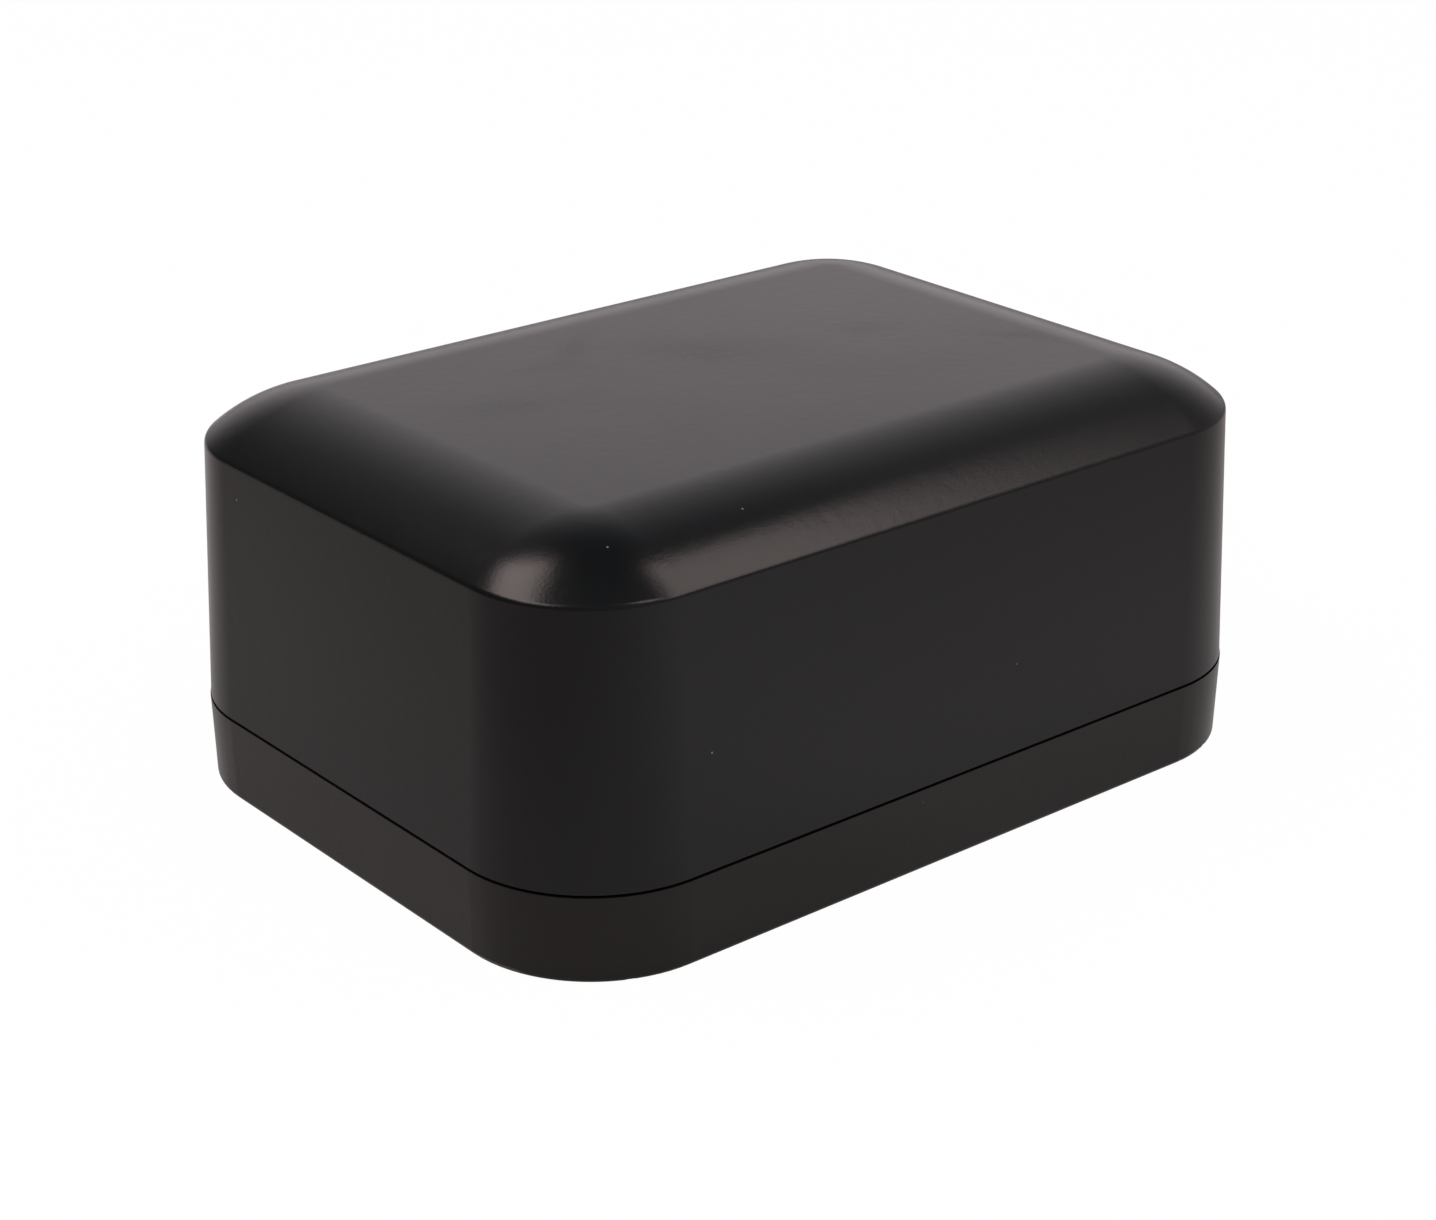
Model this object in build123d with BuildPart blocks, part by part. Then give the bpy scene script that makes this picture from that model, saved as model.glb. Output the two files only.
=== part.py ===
from build123d import *

import os
from math import radians, tan

# Injection moulded plastic housing: a deep domed cover on a shallow base tray.
# The two mouldings meet in a tongue-and-groove joint and are held by four screws
# driven up from the underside. Millimetres, +Z up, +X along the length, origin at
# the middle of the underside.

# Outer form. Length, width and corner radius are taken at the cover's rim.
length = 110.0
width = 81.8
height = 48.0
corner_radius = 16.8
joint_height = 10.5  # middle of the joint line above the underside
joint_gap = 0.3  # open line left between the two rims
dome_rise = 5.5  # flat top above the sharp edge where walls and dome would meet
crease_radius = 1.0
flat_corner_radius = 1.0  # corners of the flat area on top, inside the dome's arc
base_proud = 0.1  # how far the base's rim stands outside the cover's rim
bottom_edge_radius = 0.7
cover_draft = 2.4  # degrees, outside and inside alike
base_draft = 1.4

# Shells
wall = 2.5
floor_thickness = 2.5
inner_edge_radius = 1.0

# Joint: a tongue on the base inside a skirt left on the cover
skirt_thickness = 1.2
tongue_height = 2.0
tongue_side_clearance = 0.15
tongue_end_clearance = 0.2
tongue_chamfer = 0.3
groove_overlap = 1.0  # how far the groove's cut runs past the wall into the cavity

# Screws: pan head with a cross recess, thread-forming in the cover's bosses
screw_length = 12.0  # under the head
screw_core_radius = 1.2
screw_point_length = 1.0
screw_point_radius = 0.6
screw_head_radius = 2.8
screw_head_height = 2.1
screw_head_rounding = 0.9
recess_span = 3.1
recess_slot = 0.75
recess_depth = 1.3
recess_taper = 6.0  # degrees

# Screw bosses in the cover and the sleeves below them in the base
boss_inset = 11.0  # screw axis to the outside, along both X and Y
boss_radius = 3.5
boss_draft = 0.5  # degrees
pilot_clearance = 0.05  # round the screw's core, so the two never share space
lead_in_radius = 1.6
lead_in_depth = 0.6
sleeve_radius = 4.6
sleeve_seat_thickness = 3.0  # plastic between the screw's head and the cover's boss
screw_hole_radius = 1.7
counterbore_clearance = 0.45  # round the screw's head
counterbore_chamfer = 0.3

# Ribs that tie bosses and sleeves to the walls
rib_thickness = 1.2
rib_draft = 0.3  # degrees
rib_setback = 1.5  # from the joint's tongue and groove
rib_bite = 1.0  # how far a rib runs into a wall

# Posts for a circuit board
board_holes_x = 76.0  # hole to hole
board_holes_y = 42.0
post_radius = 2.8
post_height = 5.0
post_draft = 1.0  # degrees
post_hole_radius = 1.1
post_hole_depth = 4.5
post_root_radius = 0.5

# Levels and places worked out from the sizes above
crease_height = height - dome_rise
cover_rim = joint_height + joint_gap / 2
base_rim = joint_height - joint_gap / 2
tongue_top = base_rim + tongue_height
groove_top = tongue_top + tongue_end_clearance
tongue_inset = skirt_thickness + tongue_side_clearance
seat = cover_rim - sleeve_seat_thickness  # underside of the screws' seats
pilot_radius = screw_core_radius + pilot_clearance
pilot_top = crease_height - wall  # cored to where the dome begins, for even walls
counterbore_radius = screw_head_radius + counterbore_clearance
cover_rib_start = groove_top + rib_setback
base_rib_top = base_rim - rib_setback
post_top = floor_thickness + post_height
boss_x = length / 2 - boss_inset
boss_y = width / 2 - boss_inset

# The dome's arc is tangent to the flat top and passes through the crease. It
# reaches inward nearly to the centres of the plan corners.
crease_inset = (crease_height - cover_rim) * tan(radians(cover_draft))
dome_reach = corner_radius - crease_inset - flat_corner_radius
dome_radius = (dome_reach**2 + dome_rise**2) / (2 * dome_rise)


def plan(inset):
    """Rounded rectangle of the cover's rim, moved inward by inset."""
    return RectangleRounded(length - 2 * inset, width - 2 * inset, corner_radius - inset)


def domed_block(inset, edge_radius):
    """The cover's outer form moved inward by inset, with its crease rounded."""
    with BuildPart() as pillow:
        with BuildSketch(Plane.XY.offset(height - inset)):
            plan(crease_inset + inset - (dome_radius - dome_reach))
        extrude(amount=-(height + dome_radius))
        top = pillow.faces().sort_by(Axis.Z)[-1]
        fillet(top.edges(), dome_radius - inset)
    with BuildPart() as block:
        with BuildSketch(Plane.XY.offset(cover_rim)):
            plan(inset)
        extrude(amount=height - cover_rim, taper=cover_draft)
        add(pillow.part, mode=Mode.INTERSECT)
        level_edges = block.edges().filter_by(Plane.XY)
        crease = level_edges.group_by(Axis.Z)[1]
        fillet(crease, edge_radius)
    return block.part


def corner_ribs():
    """Two strips at each corner, from the screw axis out to the walls, in plan."""
    reach = boss_inset - wall + rib_bite
    for x_side in (-1, 1):
        for y_side in (-1, 1):
            with Locations((x_side * (boss_x + reach / 2), y_side * boss_y)):
                Rectangle(reach, rib_thickness)
            with Locations((x_side * boss_x, y_side * (boss_y + reach / 2))):
                Rectangle(rib_thickness, reach)


# Inside of the cover, as the mould's core forms it: sunk where bosses and ribs
# stand in the finished cover
outer_form = domed_block(0, crease_radius)
inner_form = domed_block(wall, inner_edge_radius)

with BuildPart() as cover_core:
    add(inner_form)
    with BuildSketch(Plane.XY.offset(cover_rim)):
        with GridLocations(2 * boss_x, 2 * boss_y, 2, 2):
            Circle(boss_radius)
    extrude(amount=height - cover_rim, taper=-boss_draft, mode=Mode.SUBTRACT)
    with BuildSketch(Plane.XY.offset(cover_rib_start)):
        corner_ribs()
    extrude(amount=height - cover_rib_start, taper=-rib_draft, mode=Mode.SUBTRACT)

with BuildPart() as cover:
    add(outer_form)
    add(cover_core.part, mode=Mode.SUBTRACT)
    # Groove that the base's tongue goes into; it opens into the cavity.
    with BuildSketch(Plane.XY.offset(cover_rim)):
        plan(skirt_thickness)
        with BuildSketch(mode=Mode.SUBTRACT):
            plan(wall + groove_overlap)
    extrude(amount=groove_top - cover_rim, mode=Mode.SUBTRACT)
    # Pilot holes with a wider mouth, so the screws start without raising a burr
    with BuildSketch(Plane.XY.offset(cover_rim)):
        with GridLocations(2 * boss_x, 2 * boss_y, 2, 2):
            Circle(pilot_radius)
    extrude(amount=pilot_top - cover_rim, mode=Mode.SUBTRACT)
    with BuildSketch(Plane.XY.offset(cover_rim)):
        with GridLocations(2 * boss_x, 2 * boss_y, 2, 2):
            Circle(lead_in_radius)
    extrude(amount=lead_in_depth, mode=Mode.SUBTRACT)

# Inside of the base
with BuildPart() as base_core:
    with BuildSketch(Plane.XY.offset(tongue_top)):
        plan(wall)
    extrude(amount=floor_thickness - tongue_top, taper=base_draft)
    floor_face = base_core.faces().sort_by(Axis.Z)[0]
    fillet(floor_face.edges(), inner_edge_radius)

with BuildPart() as base:
    with BuildSketch(Plane.XY.offset(base_rim)):
        plan(-base_proud)
    extrude(amount=-base_rim, taper=base_draft)
    underside = base.faces().sort_by(Axis.Z)[0]
    fillet(underside.edges(), bottom_edge_radius)
    # Tongue
    with BuildSketch(Plane.XY.offset(base_rim)):
        plan(tongue_inset)
    extrude(amount=tongue_height)
    tongue_face = base.faces().sort_by(Axis.Z)[-1]
    chamfer(tongue_face.edges(), tongue_chamfer)
    add(base_core.part, mode=Mode.SUBTRACT)
    # Board posts with blind pilot holes and rounded roots
    with BuildSketch(Plane.XY.offset(post_top)):
        with GridLocations(board_holes_x, board_holes_y, 2, 2):
            Circle(post_radius)
    extrude(amount=-post_height, taper=-post_draft)
    post_roots = base.edges(Select.LAST).group_by(Axis.Z)[0]
    fillet(post_roots, post_root_radius)
    with Locations(Plane.XY.offset(post_top)):
        with GridLocations(board_holes_x, board_holes_y, 2, 2):
            Hole(post_hole_radius, depth=post_hole_depth)
    # Sleeves that carry the cover's bosses, tied to the walls by ribs
    with BuildSketch(Plane.XY.offset(cover_rim)):
        with GridLocations(2 * boss_x, 2 * boss_y, 2, 2):
            Circle(sleeve_radius)
    extrude(amount=floor_thickness - cover_rim, taper=-boss_draft)
    with BuildSketch(Plane.XY.offset(base_rib_top)):
        corner_ribs()
    extrude(amount=floor_thickness - base_rib_top, taper=-rib_draft)
    # Screw holes, counterbored from the underside for the heads
    with Locations(Plane.XY.rotated((180, 0, 0))):
        with GridLocations(2 * boss_x, 2 * boss_y, 2, 2):
            CounterBoreHole(screw_hole_radius, counterbore_radius, seat)
    underside = base.faces().sort_by(Axis.Z)[0]
    chamfer(underside.inner_wires().edges(), counterbore_chamfer)

# One screw on its own axis, head down, its seating face level with the seats
with BuildPart() as screw:
    with BuildSketch(Plane.XZ):
        with BuildLine():
            Polyline(
                (0, seat - screw_head_height),
                (screw_head_radius, seat - screw_head_height),
                (screw_head_radius, seat),
                (screw_core_radius, seat),
                (screw_core_radius, seat + screw_length - screw_point_length),
                (screw_point_radius, seat + screw_length),
                (0, seat + screw_length),
                close=True,
            )
        make_face()
    revolve(axis=Axis.Z)
    head_face = screw.faces().sort_by(Axis.Z)[0]
    fillet(head_face.edges(), screw_head_rounding)
    with BuildSketch(Plane.XY.offset(seat - screw_head_height)):
        Rectangle(recess_span, recess_slot)
        Rectangle(recess_slot, recess_span)
    extrude(amount=recess_depth, taper=recess_taper, mode=Mode.SUBTRACT)

os.makedirs("parts", exist_ok=True)

cover.part.label = "cover"
export_step(cover.part, "parts/cover.step")

base.part.label = "base"
export_step(base.part, "parts/base.step")

screw_places = {
    "screw_front_left": (-boss_x, -boss_y),
    "screw_front_right": (boss_x, -boss_y),
    "screw_back_left": (-boss_x, boss_y),
    "screw_back_right": (boss_x, boss_y),
}
for name, place in screw_places.items():
    with BuildPart() as placed_screw:
        with Locations(place):
            add(screw.part)
    placed_screw.part.label = name
    export_step(placed_screw.part, f"parts/{name}.step")
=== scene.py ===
import math
import bpy
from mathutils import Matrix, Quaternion, Vector


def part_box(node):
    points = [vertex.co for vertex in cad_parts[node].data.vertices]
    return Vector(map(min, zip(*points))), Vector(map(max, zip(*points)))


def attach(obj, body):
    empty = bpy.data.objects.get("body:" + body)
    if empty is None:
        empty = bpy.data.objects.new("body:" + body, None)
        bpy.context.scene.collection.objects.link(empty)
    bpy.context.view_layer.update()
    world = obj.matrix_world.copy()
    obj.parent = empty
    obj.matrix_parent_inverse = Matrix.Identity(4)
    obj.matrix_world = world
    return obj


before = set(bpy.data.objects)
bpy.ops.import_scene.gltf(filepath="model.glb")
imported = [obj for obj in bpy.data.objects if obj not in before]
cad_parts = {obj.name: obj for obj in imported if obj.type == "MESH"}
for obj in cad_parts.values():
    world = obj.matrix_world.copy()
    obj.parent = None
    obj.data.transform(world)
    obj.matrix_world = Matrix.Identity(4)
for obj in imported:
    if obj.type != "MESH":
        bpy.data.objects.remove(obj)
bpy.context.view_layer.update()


# ------------------------------------------------------------------ Base tray
# The shallow tray that the housing stands on. It is black ABS, injection
# moulded in a spark-eroded steel mould, with posts for a circuit board and
# four sleeves that the screws come up through.

def linear(hex_colour):
    """An sRGB hex colour as linear RGBA."""
    parts = [int(hex_colour[i:i + 2], 16) / 255 for i in (1, 3, 5)]
    return [
        part / 12.92 if part <= 0.04045 else ((part + 0.055) / 1.055) ** 2.4
        for part in parts
    ] + [1.0]


def add_node(tree, kind, inputs=None, **settings):
    """Adds a node. An input given a node is linked to that node's first output in use."""
    node = tree.nodes.new(kind)
    for name, value in settings.items():
        setattr(node, name, value)
    sockets = {socket.identifier: socket for socket in node.inputs}
    for name, value in (inputs or {}).items():
        if isinstance(value, bpy.types.Node):
            value = next(output for output in value.outputs if output.enabled)
        if isinstance(value, bpy.types.NodeSocket):
            tree.links.new(value, sockets[name])
        else:
            sockets[name].default_value = value
    return node


def per_mm(size):
    """Scale of a texture whose cells measure size millimetres, in a scene in metres."""
    return 1000 / size


def new_material(name):
    """An empty material and the place of each point on the object, in metres."""
    material = bpy.data.materials.new(name)
    material.use_nodes = True
    material.node_tree.nodes.clear()
    place = add_node(material.node_tree, "ShaderNodeTexCoord").outputs["Object"]
    return material, material.node_tree, place


# Black ABS is dyed right through, so its colour hardly varies and its look is
# all in the gloss: the eroded mould leaves a fine satin grain that spreads a
# lamp into a soft patch, over a slight orange peel where the skin cooled.
abs_ior = 1.5
abs_specular_level = 0.3  # the pits of the grain swallow part of the gloss
flow_mm = 38.0
flow_low, flow_high = 0.35, 0.65  # span of the flow over which the gloss drifts
drift_glossier, drift_duller = 0.015, 0.02
grain_mm = 0.32  # the real grain is finer, and is drawn this coarse to show
grain_depth = 0.000012
grain_dulling = 0.06
peel_mm = 1.6
peel_depth = 0.000012
dust_cell_mm = 7.0
dust_radius_mm = 0.15
dust_solid_part = 0.4  # of a speck's radius, before it thins out
dust_grey = "#8d8a86"
handled_mm = 24.0
handled_low, handled_high = 0.54, 0.72  # only the noise's peaks are hazed
handled_haze = 0.02
smudge_haze = 0.045
smudge_reach = 1.9  # where a smudge ends, in its own half sizes
smudge_wander_mm = 8.0
smudge_wander = (0.006, 0.006, 0.0)  # how far its edge strays, in metres


def eroded_abs(name, pigment, pigment_pale, roughness, smudges=()):
    """Black ABS from a spark-eroded mould, between two tones of one pigment."""
    material, tree, place = new_material(name)
    # Slow drift of tone and gloss where the melt flowed and hands have been
    flow = add_node(tree, "ShaderNodeTexNoise", {
        "Vector": place, "Scale": per_mm(flow_mm), "Detail": 4.0, "Distortion": 1.2,
    })
    grain = add_node(tree, "ShaderNodeTexNoise", {
        "Vector": place, "Scale": per_mm(grain_mm), "Detail": 3.0, "Roughness": 0.6,
    })
    peel = add_node(tree, "ShaderNodeTexNoise", {
        "Vector": place, "Scale": per_mm(peel_mm), "Detail": 1.0,
    })
    tone = add_node(tree, "ShaderNodeMix", {
        "Factor_Float": flow, "A_Color": linear(pigment), "B_Color": linear(pigment_pale),
    }, data_type="RGBA")
    # Specks of dust: the few cell centres that happen to lie in the surface
    cells = add_node(tree, "ShaderNodeTexVoronoi", {
        "Vector": place, "Scale": per_mm(dust_cell_mm),
    })
    speck = add_node(tree, "ShaderNodeMapRange", {
        "Value": cells, "From Min": dust_radius_mm / dust_cell_mm,
        "From Max": dust_solid_part * dust_radius_mm / dust_cell_mm,
    })
    colour = add_node(tree, "ShaderNodeMix", {
        "Factor_Float": speck, "A_Color": tone, "B_Color": linear(dust_grey),
    }, data_type="RGBA")
    gloss_drift = add_node(tree, "ShaderNodeMapRange", {
        "Value": flow, "From Min": flow_low, "From Max": flow_high,
        "To Min": roughness - drift_glossier, "To Max": roughness + drift_duller,
    })
    gloss = add_node(tree, "ShaderNodeMath", {
        "Value": grain, "Value_001": grain_dulling, "Value_002": gloss_drift,
    }, operation="MULTIPLY_ADD")
    # Skin oil from hands hazes the gloss, faintly all over and more in each smudge
    handled = add_node(tree, "ShaderNodeTexNoise", {
        "Vector": place, "Scale": per_mm(handled_mm), "Detail": 4.0, "Roughness": 0.6,
    })
    haze = add_node(tree, "ShaderNodeMapRange", {
        "Value": handled, "From Min": handled_low, "From Max": handled_high,
        "To Min": 0.0, "To Max": handled_haze,
    }, interpolation_type="SMOOTHSTEP")
    if smudges:
        wander = add_node(tree, "ShaderNodeTexNoise", {
            "Vector": place, "Scale": per_mm(smudge_wander_mm), "Detail": 1.0,
        }).outputs["Color"]
        wandered = add_node(tree, "ShaderNodeVectorMath", {
            "Vector": wander, "Vector_001": smudge_wander, "Vector_002": place,
        }, operation="MULTIPLY_ADD")
    for centre, half_sizes, turn in smudges:
        in_smudge = add_node(tree, "ShaderNodeMapping", {
            "Vector": wandered, "Location": centre,
            "Rotation": (0.0, 0.0, math.radians(turn)), "Scale": half_sizes,
        }, vector_type="TEXTURE")
        from_middle = add_node(tree, "ShaderNodeVectorMath", {
            "Vector": in_smudge,
        }, operation="LENGTH").outputs["Value"]
        smudge = add_node(tree, "ShaderNodeMapRange", {
            "Value": from_middle, "From Min": smudge_reach, "From Max": 0.0,
            "To Min": 0.0, "To Max": smudge_haze,
        }, interpolation_type="SMOOTHSTEP")
        haze = add_node(tree, "ShaderNodeMath", {
            "Value": haze, "Value_001": smudge,
        }, operation="MAXIMUM")
    gloss = add_node(tree, "ShaderNodeMath", {"Value": gloss, "Value_001": haze})
    peel_bump = add_node(tree, "ShaderNodeBump", {
        "Height": peel, "Distance": peel_depth, "Strength": 1.0,
    })
    grain_bump = add_node(tree, "ShaderNodeBump", {
        "Height": grain, "Distance": grain_depth, "Strength": 1.0, "Normal": peel_bump,
    })
    shader = add_node(tree, "ShaderNodeBsdfPrincipled", {
        "Base Color": colour, "Roughness": gloss, "IOR": abs_ior,
        "Specular IOR Level": abs_specular_level, "Normal": grain_bump,
    })
    add_node(tree, "ShaderNodeOutputMaterial", {"Surface": shader})
    return material


def finish_node(name, material):
    """Gives a CAD node its finish."""
    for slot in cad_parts[name].material_slots:
        slot.material = material


base_abs = eroded_abs("abs_black_eroded_base", "#100e0d", "#13110f", 0.22)
finish_node("base", base_abs)


# ---------------------------------------------------------------------- Cover
# The deep domed cover that drops over the base's tongue and closes the housing.
# It is moulded from the same black ABS in a mould with the same eroded finish,
# and four bosses inside it take the screws.

cover_top = 0.048
smudge_depth = 0.002
# Smudges that fingers left on the top: centre, half length and half width in
# metres, and the turn of the length in degrees
cover_smudges = [
    ((x, y, cover_top), (half_length, half_width, smudge_depth), turn)
    for x, y, half_length, half_width, turn in [
        (-0.0125, 0.0165, 0.0055, 0.0024, -10.0),
        (-0.0065, 0.0195, 0.0060, 0.0018, 45.0),
        (0.0065, 0.0110, 0.0100, 0.0040, -38.0),
        (-0.0250, 0.0090, 0.0055, 0.0024, -38.0),
        (0.0270, 0.0045, 0.0040, 0.0026, -30.0),
        (0.0400, -0.0105, 0.0070, 0.0018, -56.0),
    ]
]
cover_abs = eroded_abs("abs_black_eroded_cover", "#090c0d", "#0b0e0f", 0.20, cover_smudges)
finish_node("cover", cover_abs)

# The outside is one section, a drafted wall, a soft crease and a flat dome,
# swept round a rectangle. Its mesh is refined and laid on that exact form, so
# that a lamp's edge runs over it as smoothly as over the real moulding.
core_half_length = 0.0382  # the rectangle that the plan's corners are struck from
core_half_width = 0.0241
plan_corner = 0.0168  # at the joint
joint_height = 0.01065
draft = math.radians(2.4)
crease_height = 0.0425
crease_round = 0.001
dome_flat = 0.001  # how far the flat top reaches beyond the rectangle
dome_rise = cover_top - crease_height
dome_reach = plan_corner - (crease_height - joint_height) * math.tan(draft) - dome_flat
dome_round = (dome_reach ** 2 + dome_rise ** 2) / (2 * dome_rise)
dome_centre = cover_top - dome_round
# Centre of the crease's round, which touches the wall and the dome inside
wall_inset = plan_corner + joint_height * math.tan(draft) - crease_round / math.cos(draft)
lean = 1 + math.tan(draft) ** 2
inset_past_flat = wall_inset - dome_flat
half_term = math.tan(draft) * inset_past_flat + dome_centre
square_term = inset_past_flat ** 2 + dome_centre ** 2 - (dome_round - crease_round) ** 2
crease_z = (half_term + math.sqrt(half_term ** 2 - lean * square_term)) / lean
crease_out = wall_inset - math.tan(draft) * crease_z
crease_low = crease_z + crease_round * math.sin(draft)
crease_high = crease_z + crease_round * (crease_z - dome_centre) / (dome_round - crease_round)
on_form = 0.00006  # a point within this of the form lies on it
faces_along = 0.9  # cosine to the form's normal, above which a face is its skin


def moulded_form(tree):
    """How far each point stands off the cover's outer form, and the form's normal there."""
    place = add_node(tree, "GeometryNodeInputPosition")
    unsigned = add_node(tree, "ShaderNodeVectorMath", {"Vector": place}, operation="ABSOLUTE")
    beyond = add_node(tree, "ShaderNodeVectorMath", {
        "Vector": unsigned, "Vector_001": (core_half_length, core_half_width, 1.0),
    }, operation="SUBTRACT")
    outward = add_node(tree, "ShaderNodeVectorMath", {"Vector": beyond}, operation="MAXIMUM")
    heading = add_node(tree, "ShaderNodeVectorMath", {"Vector": outward}, operation="NORMALIZE")
    quarter = add_node(tree, "ShaderNodeVectorMath", {"Vector": place}, operation="SIGN")
    heading = add_node(tree, "ShaderNodeVectorMath", {
        "Vector": heading, "Vector_001": quarter,
    }, operation="MULTIPLY")
    reach = add_node(tree, "ShaderNodeVectorMath", {
        "Vector": outward,
    }, operation="LENGTH").outputs["Value"]
    height = add_node(tree, "ShaderNodeSeparateXYZ", {"Vector": place}).outputs["Z"]
    # In the section's plane: X is the reach from the rectangle, Y the height
    in_section = add_node(tree, "ShaderNodeCombineXYZ", {"X": reach, "Y": height})
    wall_normal = (math.cos(draft), math.sin(draft), 0.0)
    off_wall = add_node(tree, "ShaderNodeVectorMath", {
        "Vector": in_section, "Vector_001": (plan_corner, joint_height, 0.0),
    }, operation="SUBTRACT")
    off_wall = add_node(tree, "ShaderNodeVectorMath", {
        "Vector": off_wall, "Vector_001": wall_normal,
    }, operation="DOT_PRODUCT").outputs["Value"]
    in_dome = add_node(tree, "FunctionNodeCompare", {"A": height, "B": crease_high})
    in_wall = add_node(tree, "FunctionNodeCompare", {
        "A": height, "B": crease_low,
    }, operation="LESS_THAN")
    past_flat = add_node(tree, "ShaderNodeMath", {
        "Value": reach, "Value_001": dome_flat,
    }, operation="MAXIMUM")
    dome_section = add_node(tree, "ShaderNodeCombineXYZ", {"X": past_flat, "Y": height})
    section = add_node(tree, "GeometryNodeSwitch", {
        "Switch": in_dome, "False": in_section, "True": dome_section,
    }, input_type="VECTOR")
    centre = add_node(tree, "GeometryNodeSwitch", {
        "Switch": in_dome, "False": (crease_out, crease_z, 0.0),
        "True": (dome_flat, dome_centre, 0.0),
    }, input_type="VECTOR")
    radius = add_node(tree, "GeometryNodeSwitch", {
        "Switch": in_dome, "False": crease_round, "True": dome_round,
    }, input_type="FLOAT")
    from_centre = add_node(tree, "ShaderNodeVectorMath", {
        "Vector": section, "Vector_001": centre,
    }, operation="SUBTRACT")
    distance = add_node(tree, "ShaderNodeVectorMath", {
        "Vector": from_centre,
    }, operation="LENGTH").outputs["Value"]
    off_round = add_node(tree, "ShaderNodeMath", {
        "Value": distance, "Value_001": radius,
    }, operation="SUBTRACT")
    round_normal = add_node(tree, "ShaderNodeVectorMath", {
        "Vector": from_centre,
    }, operation="NORMALIZE")
    stand_off = add_node(tree, "GeometryNodeSwitch", {
        "Switch": in_wall, "False": off_round, "True": off_wall,
    }, input_type="FLOAT")
    section_normal = add_node(tree, "GeometryNodeSwitch", {
        "Switch": in_wall, "False": round_normal, "True": wall_normal,
    }, input_type="VECTOR")
    split = add_node(tree, "ShaderNodeSeparateXYZ", {"Vector": section_normal})
    sideways = add_node(tree, "ShaderNodeVectorMath", {
        "Vector": heading, "Scale": split.outputs["X"],
    }, operation="SCALE")
    upward = add_node(tree, "ShaderNodeCombineXYZ", {"Z": split.outputs["Y"]})
    normal = add_node(tree, "ShaderNodeVectorMath", {
        "Vector": sideways, "Vector_001": upward,
    }, operation="ADD")
    off_by = add_node(tree, "ShaderNodeMath", {"Value": stand_off}, operation="ABSOLUTE")
    near = add_node(tree, "FunctionNodeCompare", {
        "A": off_by, "B": on_form,
    }, operation="LESS_THAN")
    return near, stand_off, normal


surface = bpy.data.node_groups.new("moulded_surface", "GeometryNodeTree")
surface.interface.new_socket("Geometry", in_out="INPUT", socket_type="NodeSocketGeometry")
surface.interface.new_socket("Geometry", in_out="OUTPUT", socket_type="NodeSocketGeometry")
as_packed = add_node(surface, "NodeGroupInput")
finer = add_node(surface, "GeometryNodeSubdivideMesh", {"Mesh": as_packed, "Level": 1})
near_form, stand_off, form_normal = moulded_form(surface)
back_on_form = add_node(surface, "ShaderNodeMath", {
    "Value": stand_off, "Value_001": -1.0,
}, operation="MULTIPLY")
shift = add_node(surface, "ShaderNodeVectorMath", {
    "Vector": form_normal, "Scale": back_on_form,
}, operation="SCALE")
laid = add_node(surface, "GeometryNodeSetPosition", {
    "Geometry": finer, "Selection": near_form, "Offset": shift,
})
near_form, _, form_normal = moulded_form(surface)
own_normal = add_node(surface, "GeometryNodeInputNormal")
facing = add_node(surface, "ShaderNodeVectorMath", {
    "Vector": own_normal.outputs["True Normal"], "Vector_001": form_normal,
}, operation="DOT_PRODUCT").outputs["Value"]
faces_out = add_node(surface, "FunctionNodeCompare", {"A": facing, "B": faces_along})
outside = add_node(surface, "FunctionNodeBooleanMath", {
    "Boolean": near_form, "Boolean_001": faces_out,
}, operation="AND")
exact_normal = add_node(surface, "GeometryNodeSwitch", {
    "Switch": outside, "False": own_normal.outputs["Normal"], "True": form_normal,
}, input_type="VECTOR")
shaded = add_node(surface, "GeometryNodeSetMeshNormal", {
    "Mesh": laid, "Custom Normal": exact_normal,
}, mode="FREE", domain="CORNER")
add_node(surface, "NodeGroupOutput", {"Socket_1": shaded})
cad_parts["cover"].modifiers.new("moulded_surface", "NODES").node_group = surface


# --------------------------------------------------------------------- Screws
# Four thread-forming pan head screws with a cross recess, driven up through
# the base's sleeves into the cover's bosses. They are steel, cold headed,
# thread rolled and then zinc plated.

screw_names = [
    "screw_front_left", "screw_front_right", "screw_back_left", "screw_back_right",
]

# Zinc plate over steel is a cool silver with a faint milky haze, and shows the
# drawn grain of the wire as fine streaks along the screw.
zinc_haze_mm = 0.9
haze_low, haze_high = 0.3, 0.7
zinc_glossy, zinc_dull = 0.22, 0.40
streak_mm = 0.12
streak_squeeze = 0.15  # scale along the screw, which draws the streaks out
streak_depth = 0.000006


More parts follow.
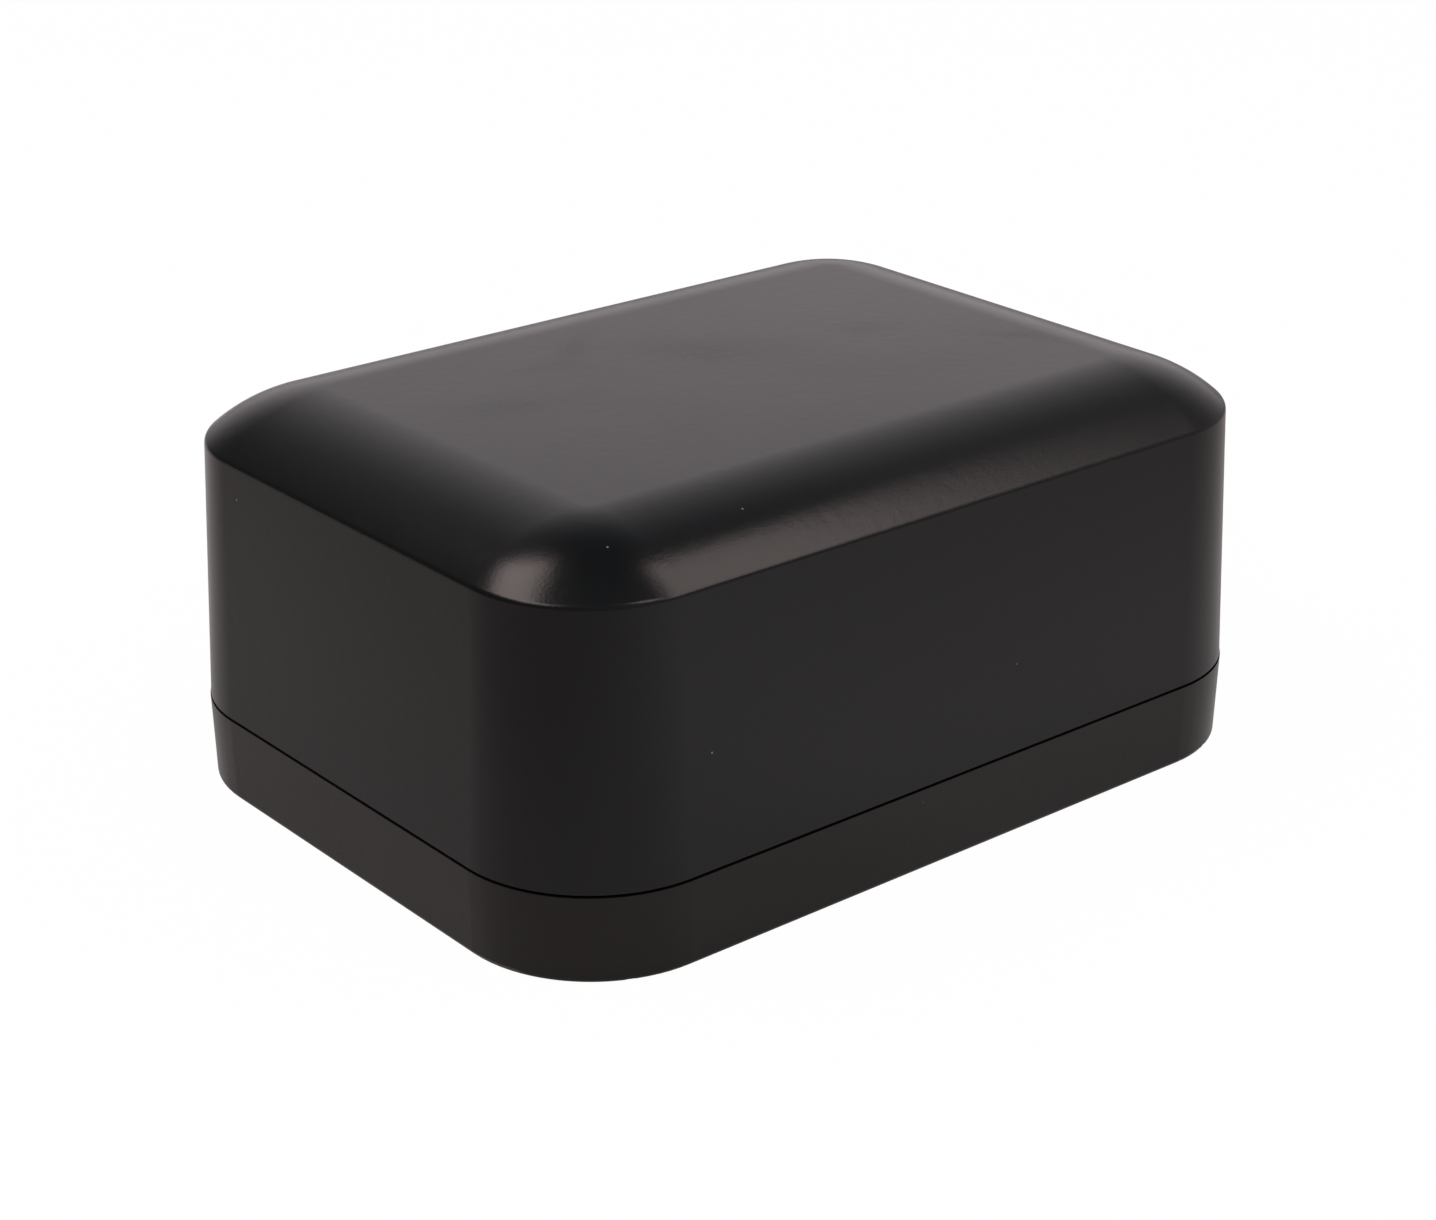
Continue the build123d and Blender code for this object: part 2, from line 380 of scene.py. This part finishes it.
def zinc_plate(name):
    """Bright zinc plate on cold-headed steel."""
    material, tree, place = new_material(name)
    haze = add_node(tree, "ShaderNodeTexNoise", {
        "Vector": place, "Scale": per_mm(zinc_haze_mm), "Detail": 5.0, "Roughness": 0.65,
    })
    streak_place = add_node(tree, "ShaderNodeMapping", {
        "Vector": place, "Scale": (1.0, 1.0, streak_squeeze),
    })
    streaks = add_node(tree, "ShaderNodeTexNoise", {
        "Vector": streak_place, "Scale": per_mm(streak_mm), "Detail": 2.0,
    })
    colour = add_node(tree, "ShaderNodeMix", {
        "Factor_Float": haze, "A_Color": linear("#bfc3c6"), "B_Color": linear("#d9d9d3"),
    }, data_type="RGBA")
    gloss = add_node(tree, "ShaderNodeMapRange", {
        "Value": haze, "From Min": haze_low, "From Max": haze_high,
        "To Min": zinc_glossy, "To Max": zinc_dull,
    })
    bump = add_node(tree, "ShaderNodeBump", {
        "Height": streaks, "Distance": streak_depth, "Strength": 1.0,
    })
    shader = add_node(tree, "ShaderNodeBsdfPrincipled", {
        "Base Color": colour, "Metallic": 1.0, "Roughness": gloss, "Normal": bump,
    })
    add_node(tree, "ShaderNodeOutputMaterial", {"Surface": shader})
    return material


screw_zinc = zinc_plate("zinc_plate_on_steel")

# The rolled thread, as a ridge wound round each screw's core
thread_outer = 0.00150
thread_root = 0.00115
thread_pitch = 0.00118
thread_start = 0.0005  # from the head's seating face
thread_end = 0.0113
thread_flank = 0.00033  # half the ridge's width at its root
thread_crest = 0.00005  # half its width at the crest
steps_per_turn = 28
runout = 0.6  # turns over which the ridge grows and dies away
least_rise = 0.02  # of the ridge's full height, so that its ends keep four corners
head_height = 0.0021


def thread_ridge(name, axis_x, axis_y, seat_z):
    """A closed helical ridge that grows out of the core and runs out at its tip."""
    turns = (thread_end - thread_start) / thread_pitch
    steps = round(turns * steps_per_turn)
    rings = []
    for step in range(steps + 1):
        turn = step / steps_per_turn
        rise = min(1.0, turn / runout, (turns - turn) / runout)
        outer = thread_root + (thread_outer - thread_root) * max(rise, least_rise)
        angle = 2 * math.pi * turn
        z = seat_z + thread_start + turn * thread_pitch
        section = [
            (thread_root, -thread_flank), (outer, -thread_crest),
            (outer, thread_crest), (thread_root, thread_flank),
        ]
        rings.append([
            (axis_x + r * math.cos(angle), axis_y + r * math.sin(angle), z + dz)
            for r, dz in section
        ])
    corners = len(rings[0])
    faces = []
    for step in range(steps):
        for corner in range(corners):
            a = step * corners + corner
            b = step * corners + (corner + 1) % corners
            faces.append((a, b, b + corners, a + corners))
    faces.append(tuple(reversed(range(corners))))
    faces.append(tuple(steps * corners + corner for corner in range(corners)))
    mesh = bpy.data.meshes.new(name)
    mesh.from_pydata([point for ring in rings for point in ring], [], faces)
    mesh.validate()
    mesh.update()
    piece = bpy.data.objects.new(name, mesh)
    bpy.context.scene.collection.objects.link(piece)
    return piece


for screw_name in screw_names:
    finish_node(screw_name, screw_zinc)
    low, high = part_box(screw_name)
    ridge = thread_ridge(
        screw_name.replace("screw", "thread"),
        (low[0] + high[0]) / 2, (low[1] + high[1]) / 2, low[2] + head_height,
    )
    ridge.data.materials.append(screw_zinc)
    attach(ridge, "root")


# ---------------------------------------------------------------------- Floor
# A wide disc of matt white card that the housing stands on. It keeps only a
# very faint shadow of it, as a brightly lit white ground does.

floor_radius = 4.0
floor_sides = 96
floor_mesh = bpy.data.meshes.new("floor")
floor_mesh.from_pydata(
    [
        (floor_radius * math.cos(2 * math.pi * side / floor_sides),
         floor_radius * math.sin(2 * math.pi * side / floor_sides), 0.0)
        for side in range(floor_sides)
    ],
    [], [tuple(range(floor_sides))],
)
floor = bpy.data.objects.new("floor", floor_mesh)
bpy.context.scene.collection.objects.link(floor)



def seen_by_eye(tree):
    """The kind of each ray, and 1 where it comes from the eye or through glass."""
    ray = add_node(tree, "ShaderNodeLightPath")
    seen = add_node(tree, "ShaderNodeMath", {
        "Value": ray.outputs["Is Camera Ray"],
        "Value_001": ray.outputs["Is Transmission Ray"],
    }, operation="MAXIMUM")
    return ray, seen


# Matt card scatters light evenly. Nearly all that it sends to the eye is a plain white glow.
# Part of what it sends into the gloss of the plastic is a glow too, strongest near gloss_peak
# and greyed towards each end along X: a painted reflection on the plastic. The rest is lit and
# shaded.
card_fibre_mm = 3.0
white_to_eye = 0.985
white_to_gloss = 0.5
gloss_white = 0.65  # the whitest part, and how it greys towards each end
gloss_left, gloss_peak, gloss_right = -0.135, 0.01, 0.22  # along X, in metres
card, card_tree, card_place = new_material("card_white_matt")
card_fibre = add_node(card_tree, "ShaderNodeTexNoise", {
    "Vector": card_place, "Scale": per_mm(card_fibre_mm), "Detail": 2.0,
})
card_colour = add_node(card_tree, "ShaderNodeMix", {
    "Factor_Float": card_fibre, "A_Color": linear("#f1f1f0"), "B_Color": linear("#f5f5f4"),
}, data_type="RGBA")
card_matt = add_node(card_tree, "ShaderNodeBsdfDiffuse", {"Color": card_colour})
ray, seen = seen_by_eye(card_tree)
across = add_node(card_tree, "ShaderNodeSeparateXYZ", {"Vector": card_place}).outputs["X"]
whitening = add_node(card_tree, "ShaderNodeMapRange", {
    "Value": across, "From Min": gloss_left, "From Max": gloss_peak,
    "To Min": 0.0, "To Max": gloss_white,
})
greying = add_node(card_tree, "ShaderNodeMapRange", {
    "Value": across, "From Min": gloss_peak, "From Max": gloss_right,
    "To Min": gloss_white, "To Max": 0.0,
})
painted_reflection_level = add_node(card_tree, "ShaderNodeMath", {
    "Value": whitening, "Value_001": greying,
}, operation="MINIMUM")
# Painted reflection: glossy rays see the card glow at this level, and every other ray sees it
# at 1
white_level = add_node(card_tree, "ShaderNodeMix", {
    "Factor_Float": ray.outputs["Is Glossy Ray"], "A_Float": 1.0, "B_Float": painted_reflection_level,
}, data_type="FLOAT")
card_white = add_node(card_tree, "ShaderNodeEmission", {"Strength": white_level})
seen_part = add_node(card_tree, "ShaderNodeMath", {
    "Value": seen, "Value_001": white_to_eye,
}, operation="MULTIPLY")
white_part = add_node(card_tree, "ShaderNodeMath", {
    "Value": ray.outputs["Is Glossy Ray"], "Value_001": white_to_gloss, "Value_002": seen_part,
}, operation="MULTIPLY_ADD")
card_surface = add_node(card_tree, "ShaderNodeMixShader", {
    "Fac": white_part, "Shader": card_matt, "Shader_001": card_white,
})
add_node(card_tree, "ShaderNodeOutputMaterial", {"Surface": card_surface})
floor.data.materials.append(card)


# --------------------------------------------------------------------- Lights
# A pale studio: a bright wall behind the housing under a dim ceiling. A large
# softbox hangs high to each side, and two smaller ones in front of the housing
# draw the thin light lines on its crease.

studio = bpy.data.worlds.new("studio")
studio.use_nodes = True
studio.node_tree.nodes.clear()
bpy.context.scene.world = studio
wall_light = 0.90  # straight behind the housing, up to where it starts to fade
left_light, right_light = 0.10, 0.42
ceiling_behind, ceiling_in_front = 0.12, 0.27
# Where the wall fades into the sides, and into the ceiling above it
wall_full, wall_gone = math.radians(12), math.radians(50)
rise_start, rise_end = math.radians(14), math.radians(63)
ceiling_turn_behind, ceiling_turn_in_front = 0.3, -0.6  # cosine to the wall
wall_azimuth = math.radians(50)
backward = (math.cos(wall_azimuth), math.sin(wall_azimuth), 0.0)
rightward = (math.sin(wall_azimuth), -math.cos(wall_azimuth), 0.0)
direction = add_node(studio.node_tree, "ShaderNodeTexCoord").outputs["Generated"]
level = add_node(studio.node_tree, "ShaderNodeVectorMath", {
    "Vector": direction, "Vector_001": (1.0, 1.0, 0.0),
}, operation="MULTIPLY")
heading = add_node(studio.node_tree, "ShaderNodeVectorMath", {
    "Vector": level,
}, operation="NORMALIZE")
to_back = add_node(studio.node_tree, "ShaderNodeVectorMath", {
    "Vector": heading, "Vector_001": backward,
}, operation="DOT_PRODUCT").outputs["Value"]
to_right = add_node(studio.node_tree, "ShaderNodeVectorMath", {
    "Vector": heading, "Vector_001": rightward,
}, operation="DOT_PRODUCT").outputs["Value"]
side_part = add_node(studio.node_tree, "ShaderNodeMapRange", {
    "Value": to_right, "From Min": -1.0, "From Max": 1.0,
    "To Min": left_light, "To Max": right_light,
})
turned_away = add_node(studio.node_tree, "ShaderNodeMath", {
    "Value": to_back,
}, operation="ARCCOSINE")
wall_part = add_node(studio.node_tree, "ShaderNodeMapRange", {
    "Value": turned_away, "From Min": wall_full, "From Max": wall_gone,
    "To Min": wall_light, "To Max": side_part,
}, interpolation_type="SMOOTHSTEP")
overhead = add_node(studio.node_tree, "ShaderNodeVectorMath", {
    "Vector": direction, "Vector_001": backward,
}, operation="DOT_PRODUCT").outputs["Value"]
ceiling_part = add_node(studio.node_tree, "ShaderNodeMapRange", {
    "Value": overhead, "From Min": ceiling_turn_behind, "From Max": ceiling_turn_in_front,
    "To Min": ceiling_behind, "To Max": ceiling_in_front,
}, interpolation_type="SMOOTHSTEP")
height = add_node(studio.node_tree, "ShaderNodeSeparateXYZ", {
    "Vector": direction,
}).outputs["Z"]
elevation_angle = add_node(studio.node_tree, "ShaderNodeMath", {
    "Value": height,
}, operation="ARCSINE")
rise = add_node(studio.node_tree, "ShaderNodeMapRange", {
    "Value": elevation_angle, "From Min": rise_start, "From Max": rise_end,
}, interpolation_type="SMOOTHSTEP")
strength = add_node(studio.node_tree, "ShaderNodeMix", {
    "Factor_Float": rise, "A_Float": wall_part, "B_Float": ceiling_part,
}, data_type="FLOAT")
tint = add_node(studio.node_tree, "ShaderNodeMix", {
    "Factor_Float": rise, "A_Color": linear("#fff5f7"), "B_Color": linear("#f2f7ff"),
}, data_type="RGBA")
room = add_node(studio.node_tree, "ShaderNodeBackground", {"Color": tint, "Strength": strength})
# The eye sees plain white behind the housing from every side
backdrop = add_node(studio.node_tree, "ShaderNodeBackground", {"Strength": 1.0})
_, seen = seen_by_eye(studio.node_tree)
background = add_node(studio.node_tree, "ShaderNodeMixShader", {
    "Fac": seen, "Shader": room, "Shader_001": backdrop,
})
add_node(studio.node_tree, "ShaderNodeOutputWorld", {"Surface": background})

softbox_distance = 1.2
softbox_tint = (1.0, 0.83, 0.81)
# Name, then azimuth from +X towards +Y, elevation, width, height and roll, all in
# degrees, then radiance
softboxes = [
    ("softbox_left", 140.2, 57.0, 38.0, 21.8, -21.0, 5.35),
    ("softbox_right", -41.3, 44.1, 57.0, 14.8, 48.6, 3.5),
    ("softbox_front_left", 183.0, 45.0, 24.0, 18.0, 0.0, 4.7),
    ("softbox_front_right", -78.5, 45.0, 13.0, 18.0, 0.0, 5.0),
]
for name, azimuth, elevation, width, tall, roll, radiance in softboxes:
    lamp = bpy.data.lights.new(name, "AREA")
    lamp.shape = "RECTANGLE"
    lamp.size = 2 * softbox_distance * math.tan(math.radians(width / 2))
    lamp.size_y = 2 * softbox_distance * math.tan(math.radians(tall / 2))
    lamp.energy = radiance * math.pi * lamp.size * lamp.size_y
    lamp.color = softbox_tint
    softbox = bpy.data.objects.new(name, lamp)
    bpy.context.scene.collection.objects.link(softbox)
    turn, lift = math.radians(azimuth), math.radians(elevation)
    toward = Vector((
        math.cos(lift) * math.cos(turn), math.cos(lift) * math.sin(turn), math.sin(lift),
    ))
    softbox.location = toward * softbox_distance
    rolled = Quaternion((0.0, 0.0, 1.0), math.radians(roll))
    softbox.rotation_euler = (toward.to_track_quat("Z", "Y") @ rolled).to_euler()


# --------------------------------------------------------------------- Camera
# A product view from above the front left corner, with a long lens.

camera_data = bpy.data.cameras.new("camera")
camera_data.sensor_width = 36.0
camera_data.lens = 72.98
camera_data.clip_start = 0.01
camera = bpy.data.objects.new("camera", camera_data)
bpy.context.scene.collection.objects.link(camera)
camera.location = (-0.20843, -0.25058, 0.15633)
camera_pitch = -23.08  # degrees, below level
camera_heading = 50.35  # degrees, from +X towards +Y
camera.rotation_euler = (
    math.radians(90 + camera_pitch), 0.0, math.radians(camera_heading - 90),
)
bpy.context.scene.camera = camera
bpy.context.scene.view_settings.view_transform = "Standard"
